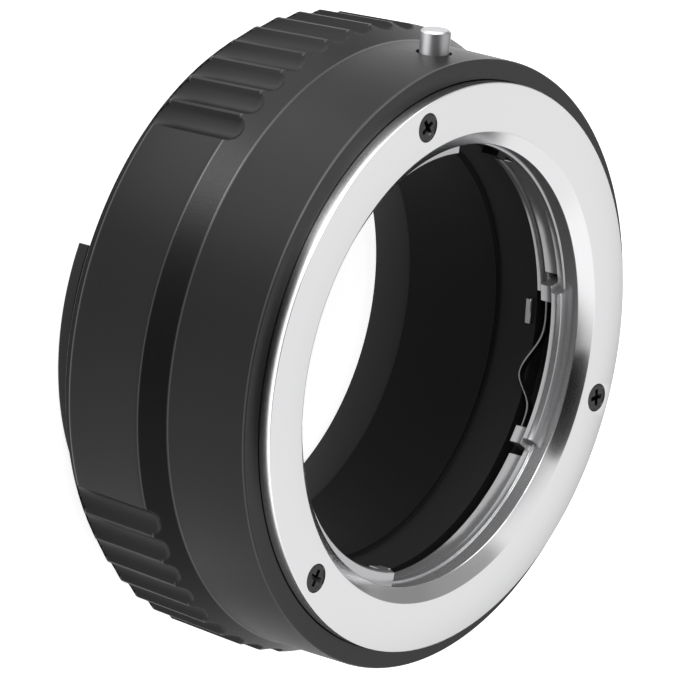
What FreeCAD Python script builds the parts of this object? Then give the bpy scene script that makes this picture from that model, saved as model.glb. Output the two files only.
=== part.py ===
"""Lens mount adapter: a short barrel that carries an SLR lens on a mirrorless camera body.

Millimetres. The optical axis is +Z and the lens side faces up. The origin is on that axis, in
the plane of the camera-side flange. Clock angles are degrees clockwise from +Y, seen from the
lens side, and the release pin stands at clock 0.
"""
import FreeCAD, Part
import math
import os

Vector = FreeCAD.Vector
Z_AXIS = Vector(0, 0, 1)
ORIGIN = Vector(0, 0, 0)

# Optical length and the lens-side face
REGISTER = 25.5                 # camera-side flange to lens-side flange
RING_PROUD = 1.5                # lens ring above the barrel's front face
RING_RECESS = 0.7               # depth of the recess that centres the lens ring

# Barrel, outside
RING_RADIUS = 29.5              # lens mount ring, which sets every radius
FRONT_RADIUS = RING_RADIUS + 2.15
FRONT_EDGE = 0.3
TAPER_START = 11.25             # below the lens flange
TAPER_LENGTH = 2.75
GRIP_RADIUS = FRONT_RADIUS + 1.35
GRIP_REAR_RADIUS = GRIP_RADIUS - 0.45
REAR_CHAMFER_LENGTH = 1.45
REAR_FACE_RADIUS = GRIP_REAR_RADIUS - 1.1
CAMERA_FLANGE = 0.88            # thickness of the camera ring's flange

# Grip flutes
FLUTE_RADIUS = 1.75
FLUTE_DEPTH = 1.0
FLUTE_PITCH = 6.25
FLUTE_FRONT = 2.8               # from the taper's start to the centre of the rounded end
FLUTES = 9                      # in each group
FLUTE_GROUPS = (344.1, 219.0, 101.4)

# Lens mount ring
RING_EDGE = 0.25
CONE_RADIUS = RING_RADIUS - 5.03
CONE_DEPTH = 1.14
THROAT_RADIUS = CONE_RADIUS - 1.47
SKIRT_WALL = 1.6
SKIRT_LEDGE = 0.2               # the skirt stands this far inside the throat
THROAT_EDGE = 2.75              # below the lens flange
SKIRT_DEPTH = 5.1               # below the lens flange
SKIRT_DEEP = 6.2
SKIRT_DEEP_SPAN = (34.6, 81.0)
SKIRT_GROOVE = 0.4
SKIRT_GROOVE_DEPTH = 0.6
LUG_RADIUS = THROAT_RADIUS - 1.35
LUG_TOP = 2.45                  # below the lens flange
LUG_BOTTOM = 3.55
LUG_CHAMFER = 0.5
LUG_SPANS = ((79.0, 121.0), (188.8, 240.6), (320.6, 363.0))
BLOCK_SPAN = 5.0
BLOCK_OVERHANG = 1.8            # beyond the lug's end
BLOCK_RADIUS = LUG_RADIUS
BLOCK_DEPTH = 4.9
LUG_NOTCH = 4.0                 # beyond the lug's end

# Barrel, inside
CLEAR_BORE = THROAT_RADIUS - 0.5
CHAMBER_RADIUS = THROAT_RADIUS - 0.1
CHAMBER_END = 10.0              # below the lens flange
SHOULDER = 6.3                  # below the lens flange
BORE_FIT = 0.1                  # radial gap between a ring and its seat

# Lens ring screws
RING_SCREW_CIRCLE = RING_RADIUS - 2.3
RING_SCREW_CLOCKS = (-16.9, 105.3, 227.1)
RING_SCREW_LENGTH = 6.5
SCREW_HEAD = 1.55
SCREW_SHANK = 0.8
SCREW_HEAD_DEPTH = 0.75
SCREW_RELIEF = 0.05
DRIVE_WIDTH = 0.45
DRIVE_LENGTH = 1.7
DRIVE_DEPTH = 0.5

# Leaf springs behind the lens lugs
LEAF_INNER = THROAT_RADIUS - 1.05
LEAF_WIDTH = 0.9
LEAF_THICKNESS = 0.22
LEAF_TOP = 4.45                 # below the lens flange, at the held ends
LEAF_BOW = 2.25
LEAF_PEAK = 0.6                 # share of the span at which the bow is deepest
LEAF_SHARPNESS = 5
LEAF_STATIONS = 17

# Release pin
PIN_DROP = 5.85                 # pin axis below the lens flange
PIN_RADIUS = 1.55
PIN_PROUD = 2.4
PIN_TRAVEL = 1.0
PIN_RUNNING = 0.07
PIN_COLLAR = 2.3
PIN_COLLAR_THICKNESS = 0.6
PIN_SPIGOT = 0.65
PIN_SPIGOT_LENGTH = 1.3
PIN_BEVEL = 0.3
PIN_MOUTH = 0.25
PIN_SPRING_RADIUS = 1.1
PIN_SPRING_WIRE = 0.3
PIN_SPRING_TURNS = 4.0

# Pocket under the lens ring that holds the release works
POCKET_INNER = RING_RADIUS - 3.9
POCKET_OUTER = RING_RADIUS - 0.5
POCKET_DEEP_SPAN = (-8.0, 8.5)
POCKET_SPAN = (-8.0, 33.5)
POCKET_FLOOR_GAP = 0.3
WINDOW_SPAN = (14.0, 33.5)
TOOTH_SPAN = (20.5, 33.0)
TOOTH_ROOM = 2.1

# Lock lever
LEVER_THICKNESS = 1.0
LEVER_GAP = 0.1
LEVER_DROP = 3.35               # lever top below the lens flange
LEVER_ARM = 5.0                 # pivot to finger, across the pin axis
FINGER_X = 1.0
FINGER_RADIUS = 0.6
FINGER_GAP = 0.1
PIVOT_RADIUS = RING_RADIUS - 2.3  # from the optical axis
PIVOT_BOSS = 1.35
PIVOT_SHOULDER = 0.9
PIVOT_RUNNING = 0.05
PIVOT_HEAD = 1.3
PIVOT_HEAD_HEIGHT = 0.55
PIVOT_THREAD_LENGTH = 3.5
ELBOW_REACH = RING_RADIUS - 4.54
ELBOW_CLOCK = 25.13
ELBOW_RADIUS = 0.9
TOOTH_WIDTH = 1.5
TOOTH_CLOCK = 26.0
TOOTH_TIP = THROAT_RADIUS - 0.8
TOOTH_STEP = 1.05
TOOTH_STEP_REACH = 2.5
LEVER_SPRING_AT = 0.6           # share of the way from the pivot to the elbow
LEVER_SPRING_RADIUS = 0.38
LEVER_SPRING_WIRE = 0.18
LEVER_SPRING_TURNS = 5.0

# Coil springs
COIL_STATIONS = 14              # to a turn
COIL_SIDES = 8

# Stop-down tab
TAB_CLOCK = 87.1
TAB_DROP = 7.15
TAB_LENGTH = 2.8
TAB_THICKNESS = 0.7
TAB_REACH = 0.4
TAB_ROOT = 1.6

# Camera mount ring
FLANGE_RADIUS = RING_RADIUS + 1.0
FLANGE_EDGE = 0.2
SPIGOT_RADIUS = FLANGE_RADIUS - 3.0
SPIGOT_HEIGHT = 1.92
BARREL_RADIUS = CLEAR_BORE + 1.8
BARREL_DEPTH = 1.8
BAYONET_DEPTH = 4.8
BAYONET_INNER = CLEAR_BORE + 0.4
BAYONET_RADIUS = BARREL_RADIUS + 1.9
BAYONET_THICKNESS = 1.5
BAYONET_EDGE = 0.3
BAYONET_SPANS = ((-0.4, 49.6), (159.6, 193.6), (236.6, 292.6))
LOCK_HOLE_RADIUS = 1.2
LOCK_HOLE_CIRCLE = SPIGOT_RADIUS - 0.1
LOCK_HOLE_CLOCK = 75.0
LOCK_HOLE_DEPTH = 2.4
REAR_SCREW_CIRCLE = FLANGE_RADIUS - 1.65
REAR_SCREW_CLOCK = 30.0
REAR_SCREWS = 4
REAR_SCREW_HEAD = 1.3
REAR_SCREW_HEAD_DEPTH = 0.6
REAR_SCREW_LENGTH = 5.0

# Heights along the optical axis, worked out from the sizes above
LENS_FACE = REGISTER
BARREL_FRONT = LENS_FACE - RING_PROUD
RING_SEAT = BARREL_FRONT - RING_RECESS
BARREL_REAR = CAMERA_FLANGE
SPIGOT_TOP = BARREL_REAR + SPIGOT_HEIGHT
CHAMFER_START = BARREL_REAR + REAR_CHAMFER_LENGTH
TAPER_FRONT = LENS_FACE - TAPER_START
TAPER_REAR = TAPER_FRONT - TAPER_LENGTH
SKIRT_OUTER = THROAT_RADIUS + SKIRT_WALL
COUNTERBORE = SKIRT_OUTER + 2 * BORE_FIT
PIN_Z = LENS_FACE - PIN_DROP
LEVER_TOP = LENS_FACE - LEVER_DROP
LEVER_BOTTOM = LEVER_TOP - LEVER_THICKNESS
LEVER_FLOOR = LEVER_BOTTOM - LEVER_GAP
COLLAR_INNER_Y = POCKET_OUTER - PIN_COLLAR_THICKNESS


def polar(radius, clock, z=0.0):
    """Point at a radius and clock angle."""
    angle = math.radians(clock)
    return Vector(radius * math.sin(angle), radius * math.cos(angle), z)


def turned_to(shape, clock):
    """Copy of a shape turned about the optical axis to a clock angle."""
    copy = shape.copy()
    copy.rotate(ORIGIN, Z_AXIS, -clock)
    return copy


def revolved(points, start=0.0, end=360.0):
    """Solid of revolution about Z from (radius, z) points, between two clock angles."""
    corners = [Vector(0, radius, z) for radius, z in points]
    face = Part.Face(Part.makePolygon(corners + corners[:1]))
    solid = face.revolve(ORIGIN, Z_AXIS, -(end - start))
    return turned_to(Part.Solid(solid) if solid.ShapeType == "Shell" else solid, start)


def sector(inner, outer, bottom, top, start, end):
    """Ring sector with flat floor and roof."""
    return revolved([(inner, bottom), (outer, bottom), (outer, top), (inner, top)], start, end)


def rod(radius, start, direction, length):
    """Cylinder from a start point along a direction."""
    return Part.makeCylinder(radius, length, start, direction)


def cone(radius_a, radius_b, start, direction, length):
    """Cone frustum from a start point along a direction."""
    return Part.makeCone(radius_a, radius_b, length, start, direction)


def spaced(count, first):
    """Clock angles of evenly spaced copies."""
    return [first + index * 360.0 / count for index in range(count)]


def countersunk_screw(head, shank, head_depth, length):
    """Countersunk screw with its head in the plane z = 0 and its point towards -Z."""
    down = Vector(0, 0, -1)
    body = cone(head, shank, ORIGIN, down, head_depth)
    body = body.fuse(rod(shank, Vector(0, 0, -head_depth), down, length - head_depth))
    for turn in (0, 90):
        slot = Part.makeBox(DRIVE_LENGTH, DRIVE_WIDTH, 2 * DRIVE_DEPTH,
                            Vector(-DRIVE_LENGTH / 2, -DRIVE_WIDTH / 2, -DRIVE_DEPTH))
        slot.rotate(ORIGIN, Z_AXIS, turn)
        body = body.cut(slot)
    return body


def countersunk_hole(head, shank, head_depth, depth):
    """Void for a countersunk screw, with its mouth in the plane z = 0."""
    down = Vector(0, 0, -1)
    void = cone(head, shank + SCREW_RELIEF, ORIGIN, down, head_depth)
    return void.fuse(rod(shank + SCREW_RELIEF, ORIGIN, down, depth + SCREW_RELIEF))


def facing(shape, radius, clock, z, flipped=False):
    """Copy of an axial piece set at a radius and clock angle, pointing up or down."""
    copy = shape.copy()
    if flipped:
        copy.rotate(ORIGIN, Vector(1, 0, 0), 180)
    copy.translate(Vector(0, radius, z))
    return turned_to(copy, clock)


def coil(radius, wire, turns, start, direction, length):
    """Compression spring between two planes a length apart, its round wire drawn with flats."""
    count = int(turns * COIL_STATIONS)
    rise = (length - wire) / count
    step = 2 * math.pi / COIL_STATIONS
    sections = []
    for index in range(count + 1):
        out = Vector(math.cos(step * index), math.sin(step * index), 0)
        along = Vector(-out.y * radius * step, out.x * radius * step, rise).normalize()
        side = along.cross(out)
        centre = out * radius + Vector(0, 0, wire / 2 + rise * index)
        ring = [centre + out * (wire / 2 * math.cos(turn)) + side * (wire / 2 * math.sin(turn))
                for turn in [2 * math.pi * k / COIL_SIDES for k in range(COIL_SIDES)]]
        sections.append(Part.makePolygon(ring + ring[:1]))
    spring = Part.makeLoft(sections, True, True)
    spring.Placement = FreeCAD.Placement(start, FreeCAD.Rotation(Z_AXIS, direction))
    return spring


def screw_seats():
    """Voids for the lens ring screws."""
    hole = countersunk_hole(SCREW_HEAD, SCREW_SHANK, SCREW_HEAD_DEPTH, RING_SCREW_LENGTH)
    return [facing(hole, RING_SCREW_CIRCLE, clock, LENS_FACE)
            for clock in RING_SCREW_CLOCKS]


def rear_screw_seats():
    """Voids for the camera ring screws."""
    hole = countersunk_hole(REAR_SCREW_HEAD, SCREW_SHANK, REAR_SCREW_HEAD_DEPTH,
                            REAR_SCREW_LENGTH)
    return [facing(hole, REAR_SCREW_CIRCLE, clock, 0.0, flipped=True)
            for clock in spaced(REAR_SCREWS, REAR_SCREW_CLOCK)]


def lock_hole():
    """Void that the camera's locking pin drops into."""
    return rod(LOCK_HOLE_RADIUS, polar(LOCK_HOLE_CIRCLE, LOCK_HOLE_CLOCK, -LOCK_HOLE_RADIUS),
               Z_AXIS, LOCK_HOLE_DEPTH + LOCK_HOLE_RADIUS)


def barrel_blank():
    """Turned barrel before its flutes, pocket and holes."""
    recess = RING_RADIUS + BORE_FIT
    spigot_seat = SPIGOT_RADIUS + BORE_FIT
    return revolved([
        (recess, BARREL_FRONT),
        (FRONT_RADIUS - FRONT_EDGE, BARREL_FRONT),
        (FRONT_RADIUS, BARREL_FRONT - FRONT_EDGE),
        (FRONT_RADIUS, TAPER_FRONT),
        (GRIP_RADIUS, TAPER_REAR),
        (GRIP_REAR_RADIUS, CHAMFER_START),
        (REAR_FACE_RADIUS, BARREL_REAR),
        (spigot_seat, BARREL_REAR),
        (spigot_seat, SPIGOT_TOP),
        (CLEAR_BORE, SPIGOT_TOP),
        (CLEAR_BORE, LENS_FACE - CHAMBER_END),
        (CHAMBER_RADIUS, LENS_FACE - CHAMBER_END),
        (CHAMBER_RADIUS, LENS_FACE - SHOULDER),
        (COUNTERBORE, LENS_FACE - SHOULDER),
        (COUNTERBORE, RING_SEAT),
        (recess, RING_SEAT),
    ])


def flute_cutter():
    """Ball-ended cutter that follows the grip's slight cone, at clock 0."""
    grip_length = TAPER_REAR - CHAMFER_START
    slope = (GRIP_RADIUS - GRIP_REAR_RADIUS) / grip_length
    front = TAPER_FRONT - FLUTE_FRONT
    centre = GRIP_RADIUS - slope * (TAPER_REAR - front) - FLUTE_DEPTH + FLUTE_RADIUS
    start = Vector(0, centre, front)
    along = Vector(0, -slope, -1)
    cutter = rod(FLUTE_RADIUS, start, along, grip_length + 2 * REAR_CHAMFER_LENGTH)
    return cutter.fuse(Part.makeSphere(FLUTE_RADIUS, start))


def flute_clocks():
    """Clock angles of the flutes, group by group."""
    reach = FLUTE_PITCH * (FLUTES - 1) / 2
    return [centre - reach + FLUTE_PITCH * index
            for centre in FLUTE_GROUPS for index in range(FLUTES)]


def release_pocket():
    """Pocket for the pin's collar and spring, and the shallow floor of the lever."""
    deep_floor = PIN_Z - PIN_COLLAR - POCKET_FLOOR_GAP
    deep = sector(POCKET_INNER, POCKET_OUTER, deep_floor, RING_SEAT, *POCKET_DEEP_SPAN)
    shallow = sector(POCKET_INNER, POCKET_OUTER, LEVER_FLOOR, RING_SEAT, *POCKET_SPAN)
    window = sector(COUNTERBORE - SKIRT_WALL, POCKET_INNER + BORE_FIT, LEVER_FLOOR, RING_SEAT,
                    *WINDOW_SPAN)
    room = sector(COUNTERBORE - SKIRT_WALL, COUNTERBORE + TOOTH_ROOM, LEVER_FLOOR - TOOTH_STEP,
                  RING_SEAT, *TOOTH_SPAN)
    spot = rod(PIN_COLLAR + POCKET_FLOOR_GAP, Vector(0, POCKET_OUTER - PIN_COLLAR, PIN_Z),
               Vector(0, 1, 0), PIN_COLLAR)
    return [deep, shallow, window, room, spot]


def release_bore():
    """Radial hole of the release pin with its small mouth chamfer."""
    radius = PIN_RADIUS + PIN_RUNNING
    hole = rod(radius, Vector(0, POCKET_INNER, PIN_Z), Vector(0, 1, 0),
               FRONT_RADIUS - POCKET_INNER + PIN_PROUD)
    mouth = cone(radius, radius + 2 * PIN_MOUTH, Vector(0, FRONT_RADIUS - PIN_MOUTH, PIN_Z),
                 Vector(0, 1, 0), 2 * PIN_MOUTH)
    return hole.cut(rod(radius, Vector(0, POCKET_INNER, PIN_Z), Vector(0, 1, 0),
                        POCKET_OUTER - POCKET_INNER)).fuse(mouth)


def pivot_point():
    """Axis of the lock lever, at the lever's floor."""
    x = FINGER_X + LEVER_ARM
    return Vector(x, math.sqrt(PIVOT_RADIUS ** 2 - x ** 2), LEVER_FLOOR)


def tab_box():
    """Stop-down tab: a thin plate set radially in the bore wall."""
    plate = Part.makeBox(TAB_LENGTH, TAB_REACH + TAB_ROOT, TAB_THICKNESS,
                         Vector(-TAB_LENGTH / 2, CHAMBER_RADIUS - TAB_REACH,
                                LENS_FACE - TAB_DROP - TAB_THICKNESS / 2))
    return turned_to(plate, TAB_CLOCK)


def body_barrel():
    """Anodised barrel with its grip flutes, seats, pocket and holes."""
    cutter = flute_cutter()
    blank = barrel_blank().cut([turned_to(cutter, clock) for clock in flute_clocks()])
    pivot_hole = rod(SCREW_SHANK + SCREW_RELIEF, pivot_point(), Vector(0, 0, -1),
                     PIVOT_THREAD_LENGTH + SCREW_RELIEF)
    voids = release_pocket() + screw_seats() + rear_screw_seats()
    voids += [release_bore(), pivot_hole, lock_hole(), tab_box()]
    return blank.cut(voids)


def lens_lugs():
    """Three bayonet lugs of unequal length that a lens locks under."""
    top = LENS_FACE - LUG_TOP
    bottom = LENS_FACE - LUG_BOTTOM
    root = THROAT_RADIUS + SKIRT_WALL / 2
    profile = [(LUG_RADIUS, bottom), (root, bottom), (root, top),
               (LUG_RADIUS + LUG_CHAMFER / 3, top), (LUG_RADIUS, top - LUG_CHAMFER)]
    return [revolved(profile, *span) for span in LUG_SPANS]


def block_spans():
    """Clock angles of the two blocks under each lug."""
    spans = []
    for start, end in LUG_SPANS:
        spans.append((start - BLOCK_OVERHANG, start - BLOCK_OVERHANG + BLOCK_SPAN))
        spans.append((end + BLOCK_OVERHANG - BLOCK_SPAN, end + BLOCK_OVERHANG))
    return spans


def spring_blocks():
    """Blocks at both ends of each lug that hold its leaf spring."""
    return [sector(BLOCK_RADIUS, SKIRT_OUTER, LENS_FACE - BLOCK_DEPTH, LENS_FACE - LUG_BOTTOM,
                   *span) for span in block_spans()]


def skirt_cuts():
    """Cuts that shorten the skirt, groove its deep part and clear it behind each lug."""
    inside = THROAT_RADIUS - SKIRT_LEDGE - BORE_FIT
    outside = SKIRT_OUTER + BORE_FIT
    bottom = LENS_FACE - SKIRT_DEEP - BORE_FIT
    deep_start, deep_end = SKIRT_DEEP_SPAN
    cuts = [sector(inside, outside, bottom, LENS_FACE - SKIRT_DEPTH, deep_end,
                   deep_start + 360.0),
            sector(inside, THROAT_RADIUS + SKIRT_GROOVE_DEPTH,
                   LENS_FACE - SKIRT_DEPTH - SKIRT_GROOVE, LENS_FACE - SKIRT_DEPTH,
                   deep_start, deep_end)]
    for start, end in LUG_SPANS:
        cuts.append(sector(inside, outside, LENS_FACE - SKIRT_DEPTH - SKIRT_GROOVE,
                           LENS_FACE - LUG_BOTTOM, start - LUG_NOTCH, end + LUG_NOTCH))
    return cuts


def tooth_slot():
    """Slot in the skirt that the lever's tooth comes through."""
    return sector(THROAT_RADIUS - SKIRT_LEDGE - BORE_FIT, SKIRT_OUTER + BORE_FIT,
                  LENS_FACE - SKIRT_DEEP - BORE_FIT, LEVER_TOP + LEVER_GAP, *TOOTH_SPAN)


def lens_mount_ring():
    """Satin chromed female bayonet ring."""
    ring = revolved([
        (CONE_RADIUS, LENS_FACE),
        (RING_RADIUS - RING_EDGE, LENS_FACE),
        (RING_RADIUS, LENS_FACE - RING_EDGE),
        (RING_RADIUS, RING_SEAT),
        (SKIRT_OUTER, RING_SEAT),
        (SKIRT_OUTER, LENS_FACE - SKIRT_DEEP),
        (THROAT_RADIUS - SKIRT_LEDGE, LENS_FACE - SKIRT_DEEP),
        (THROAT_RADIUS - SKIRT_LEDGE, LENS_FACE - THROAT_EDGE),
        (THROAT_RADIUS, LENS_FACE - THROAT_EDGE),
        (THROAT_RADIUS, LENS_FACE - CONE_DEPTH),
    ])
    ring = ring.cut(skirt_cuts() + [tooth_slot()])
    ring = ring.fuse(lens_lugs() + spring_blocks())
    return ring.cut(screw_seats()).removeSplitter()


def lens_ring_screws():
    """Cross-recessed screws of the lens ring."""
    screw = countersunk_screw(SCREW_HEAD, SCREW_SHANK, SCREW_HEAD_DEPTH, RING_SCREW_LENGTH)
    return Part.makeCompound([facing(screw, RING_SCREW_CIRCLE, clock, LENS_FACE)
                              for clock in RING_SCREW_CLOCKS])


def leaf_drop(share):
    """Depth of the leaf below its held ends at a share of its span, zero at both ends."""
    if share < LEAF_PEAK:
        part = share / LEAF_PEAK
    else:
        part = (1.0 - share) / (1.0 - LEAF_PEAK)
    return LEAF_BOW * math.sin(math.pi / 2 * part) ** LEAF_SHARPNESS


def leaf_section(clock, z):
    """Rectangular section of the leaf in the radial plane at a clock angle."""
    half = LEAF_THICKNESS / 2
    corners = [polar(LEAF_INNER, clock, z - half), polar(LEAF_INNER + LEAF_WIDTH, clock, z - half),
               polar(LEAF_INNER + LEAF_WIDTH, clock, z + half), polar(LEAF_INNER, clock, z + half)]
    return Part.makePolygon(corners + corners[:1])


def leaf_spring(start, end):
    """Bowed leaf between the two blocks of one lug."""
    first = start - BLOCK_OVERHANG + BLOCK_SPAN
    last = end + BLOCK_OVERHANG - BLOCK_SPAN
    sections = []
    for index in range(LEAF_STATIONS):
        share = index / (LEAF_STATIONS - 1)
        z = LENS_FACE - LEAF_TOP - leaf_drop(share)
        sections.append(leaf_section(first + share * (last - first), z))
    return Part.makeLoft(sections, True, False)


def release_pin():
    """Push pin with its collar and spring spigot."""
    out = Vector(0, 1, 0)
    tip = FRONT_RADIUS + PIN_PROUD
    shaft = rod(PIN_RADIUS, Vector(0, COLLAR_INNER_Y, PIN_Z), out,
                tip - PIN_BEVEL - COLLAR_INNER_Y)
    bevel = cone(PIN_RADIUS, PIN_RADIUS - PIN_BEVEL, Vector(0, tip - PIN_BEVEL, PIN_Z), out,
                 PIN_BEVEL)
    collar = rod(PIN_COLLAR, Vector(0, COLLAR_INNER_Y, PIN_Z), out, PIN_COLLAR_THICKNESS)
    spigot = rod(PIN_SPIGOT, Vector(0, COLLAR_INNER_Y - PIN_SPIGOT_LENGTH, PIN_Z), out,
                 PIN_SPIGOT_LENGTH)
    return shaft.fuse([bevel, collar, spigot]).removeSplitter()


def release_pin_spring():
    """Coil spring that pushes the pin outwards."""
    return coil(PIN_SPRING_RADIUS, PIN_SPRING_WIRE, PIN_SPRING_TURNS,
                Vector(0, POCKET_INNER, PIN_Z), Vector(0, 1, 0), COLLAR_INNER_Y - POCKET_INNER)


def bar(start, end, radius, bottom, height):
    """Flat link with round ends between two points."""
    run = end - start
    length = math.hypot(run.x, run.y)
    plate = Part.makeBox(length, 2 * radius, height, Vector(0, -radius, 0))
    plate = plate.fuse([Part.makeCylinder(radius, height),
                        Part.makeCylinder(radius, height, Vector(length, 0, 0))])
    plate.rotate(ORIGIN, Z_AXIS, math.degrees(math.atan2(run.y, run.x)))
    plate.translate(Vector(start.x, start.y, bottom))
    return plate


def lock_lever():
    """Two-armed lever: the pin pushes its finger in and its tooth swings out of the throat."""
    pivot = pivot_point()
    finger = Vector(FINGER_X, COLLAR_INNER_Y - FINGER_GAP - FINGER_RADIUS, 0)
    elbow = polar(ELBOW_REACH, ELBOW_CLOCK)
    lever = bar(finger, pivot, FINGER_RADIUS, LEVER_BOTTOM, LEVER_THICKNESS)
    lever = lever.fuse(bar(pivot, elbow, ELBOW_RADIUS, LEVER_BOTTOM, LEVER_THICKNESS))
    lever = lever.fuse(rod(PIVOT_BOSS, Vector(pivot.x, pivot.y, LEVER_BOTTOM), Z_AXIS,
                           LEVER_THICKNESS))
    left = -TOOTH_WIDTH / 2
    tooth = Part.makeBox(TOOTH_WIDTH, ELBOW_REACH - TOOTH_TIP, LEVER_THICKNESS,
                         Vector(left, TOOTH_TIP, LEVER_BOTTOM))
    tooth = tooth.fuse(Part.makeBox(TOOTH_WIDTH, TOOTH_STEP_REACH, TOOTH_STEP,
                                    Vector(left, TOOTH_TIP, LEVER_BOTTOM - TOOTH_STEP)))
    lever = lever.fuse(turned_to(tooth, TOOTH_CLOCK))
    hole = rod(PIVOT_SHOULDER + PIVOT_RUNNING, Vector(pivot.x, pivot.y, LEVER_FLOOR), Z_AXIS,
               LEVER_THICKNESS + 2 * LEVER_GAP)
    return lever.cut(hole).removeSplitter()


def lock_lever_pivot():
    """Shoulder screw that the lever turns on."""
    pivot = pivot_point()
    shoulder = LEVER_THICKNESS + 2 * LEVER_GAP
    screw = rod(SCREW_SHANK, Vector(pivot.x, pivot.y, LEVER_FLOOR - PIVOT_THREAD_LENGTH), Z_AXIS,
                PIVOT_THREAD_LENGTH)
    screw = screw.fuse(rod(PIVOT_SHOULDER, pivot, Z_AXIS, shoulder))
    top = Vector(pivot.x, pivot.y, LEVER_FLOOR + shoulder)
    screw = screw.fuse(rod(PIVOT_HEAD, top, Z_AXIS, PIVOT_HEAD_HEIGHT))
    slot = Part.makeBox(2 * PIVOT_HEAD, DRIVE_WIDTH, PIVOT_HEAD_HEIGHT,
                        top + Vector(-PIVOT_HEAD, -DRIVE_WIDTH / 2, PIVOT_HEAD_HEIGHT / 2))
    return screw.cut(slot).removeSplitter()


def lock_lever_spring():
    """Small coil spring that swings the tooth back into the throat."""
    pivot = pivot_point()
    elbow = polar(ELBOW_REACH, ELBOW_CLOCK, pivot.z)
    along = (elbow - pivot).normalize()
    outward = Vector(-along.y, along.x, 0)
    seat = pivot + (elbow - pivot) * LEVER_SPRING_AT
    seat.z = LEVER_BOTTOM + LEVER_THICKNESS / 2
    flat = Vector(seat.x, seat.y, 0)
    across = flat.dot(outward)
    reach = -across + math.sqrt(across ** 2 - flat.dot(flat) + POCKET_OUTER ** 2)
    start = seat + outward * ELBOW_RADIUS
    return coil(LEVER_SPRING_RADIUS, LEVER_SPRING_WIRE, LEVER_SPRING_TURNS, start, outward,
                reach - ELBOW_RADIUS - LEVER_GAP)


def bayonet_gaps():
    """Voids between the camera-side lugs, down to the low wall that joins them."""
    spans = BAYONET_SPANS[1:] + BAYONET_SPANS[:1]
    return [sector(CLEAR_BORE / 2, FLANGE_RADIUS, -2 * BAYONET_DEPTH, -BARREL_DEPTH,
                   this[1], after[0] + (360.0 if after[0] < this[0] else 0.0))
            for this, after in zip(BAYONET_SPANS, spans)]


def camera_mount_ring():
    """Black male bayonet ring with its flange, spigot and lugs."""
    hook = -BAYONET_DEPTH + BAYONET_THICKNESS
    ring = revolved([
        (CLEAR_BORE, -BARREL_DEPTH),
        (BAYONET_INNER, -BARREL_DEPTH),
        (BAYONET_INNER, -BAYONET_DEPTH),
        (BAYONET_RADIUS - BAYONET_EDGE, -BAYONET_DEPTH),
        (BAYONET_RADIUS, -BAYONET_DEPTH + BAYONET_EDGE),
        (BAYONET_RADIUS, hook),
        (BARREL_RADIUS, hook),
        (BARREL_RADIUS, 0.0),
        (FLANGE_RADIUS - FLANGE_EDGE, 0.0),
        (FLANGE_RADIUS, FLANGE_EDGE),
        (FLANGE_RADIUS, BARREL_REAR),
        (SPIGOT_RADIUS, BARREL_REAR),
        (SPIGOT_RADIUS, SPIGOT_TOP),
        (CLEAR_BORE, SPIGOT_TOP),
    ])
    return ring.cut(bayonet_gaps() + rear_screw_seats() + [lock_hole()])


def camera_ring_screws():
    """Countersunk screws of the camera ring."""
    screw = countersunk_screw(REAR_SCREW_HEAD, SCREW_SHANK, REAR_SCREW_HEAD_DEPTH,
                              REAR_SCREW_LENGTH)
    return Part.makeCompound([facing(screw, REAR_SCREW_CIRCLE, clock, 0.0, flipped=True)
                              for clock in spaced(REAR_SCREWS, REAR_SCREW_CLOCK)])


def all_nodes():
    """Every piece of the adapter by name."""
    nodes = {
        "body_barrel": body_barrel(),
        "lens_mount_ring": lens_mount_ring(),
        "lens_ring_screws": lens_ring_screws(),
        "release_pin": release_pin(),
        "release_pin_spring": release_pin_spring(),
        "lock_lever": lock_lever(),
        "lock_lever_pivot": lock_lever_pivot(),
        "lock_lever_spring": lock_lever_spring(),
        "stop_down_tab": tab_box(),
        "camera_mount_ring": camera_mount_ring(),
        "camera_ring_screws": camera_ring_screws(),
    }
    for number, span in enumerate(LUG_SPANS, start=1):
        nodes["leaf_spring_%d" % number] = leaf_spring(*span)
    return nodes


def main():
    """Build every node, report it and write its STEP file."""
    os.makedirs("parts", exist_ok=True)
    for name, shape in all_nodes().items():
        print("%-20s solids %d valid %s volume %.2f" %
              (name, len(shape.Solids), shape.isValid(), shape.Volume))
        shape.exportStep("parts/%s.step" % name)


main()
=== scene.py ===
"""Looks of a lens mount adapter, built round its CAD frame.

Lengths are written in millimetres and turned into metres when a mesh is made. The optical axis is
+Z, the lens side faces up and the origin lies in the camera-side flange. Clock angles are degrees
clockwise from +Y seen from the lens side, and the release pin stands at clock 0.
"""
import logging
import math
from dataclasses import dataclass, field
from enum import Enum

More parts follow.
